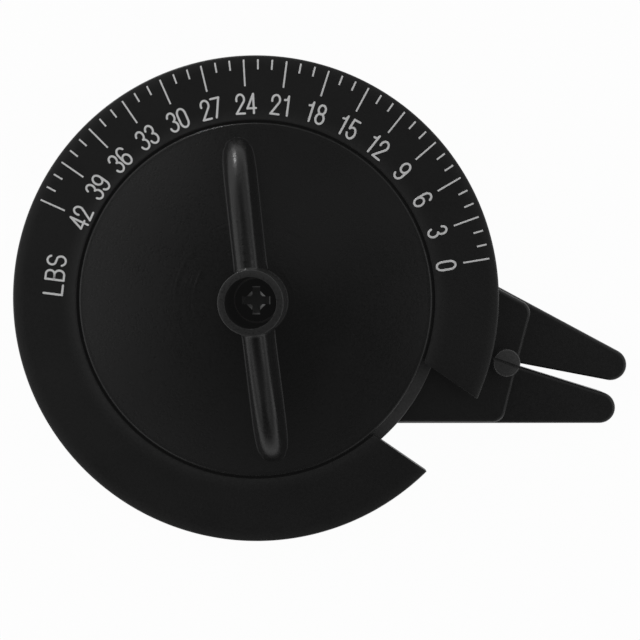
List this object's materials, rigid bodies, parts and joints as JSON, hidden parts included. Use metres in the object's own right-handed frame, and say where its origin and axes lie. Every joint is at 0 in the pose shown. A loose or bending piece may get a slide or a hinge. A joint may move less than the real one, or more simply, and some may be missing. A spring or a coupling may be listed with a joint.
{
  "type": "string tension calibrator",
  "caption": "Round dial gauge with a winged knob and a slotted beak that twists one racket string against a spring to read its tension.",
  "frame": {"origin": "on the dial's axis, in the plane of the frame's flat back", "axes": "+X from the dial's axis towards the tips of the two prongs, +Z out of the front of the dial, towards the knob"},
  "size_m": [0.0817, 0.063, 0.0215],
  "materials": {
    "black_plastic": "satin, fine moulded texture",
    "ring_plastic": "matt, with a pale printed scale",
    "steel": "bright zinc",
    "dark_steel": "black oxide",
    "brass": "turned",
    "acetal": "natural white, smooth"
  },
  "bodies": {
    "frame": {"jaw_plate": "black_plastic", "arm_plate": "black_plastic", "plate_screw_1": "steel", "plate_screw_2": "steel", "pivot_post": "brass", "stop_pin": "steel", "throat_screw": "dark_steel", "torsion_spring": "steel", "thrust_washer": "acetal", "centre_washer": "steel", "centre_screw": "dark_steel"},
    "dial": {"dial_carrier": "black_plastic", "scale_ring": "ring_plastic", "wing_knob": "black_plastic", "pivot_bush": "acetal", "knob_screw_1": "steel", "knob_screw_2": "steel"}
  },
  "joints": [
    {"name": "dial_turn", "type": "hinge", "parent": "frame", "child": "dial", "pos_m": [0, 0, 0], "axis": [0, 0, -1], "range_deg": [0, 172], "stiffness_Nm_per_rad": 0.08, "deforming": ["torsion_spring"]}
  ]
}
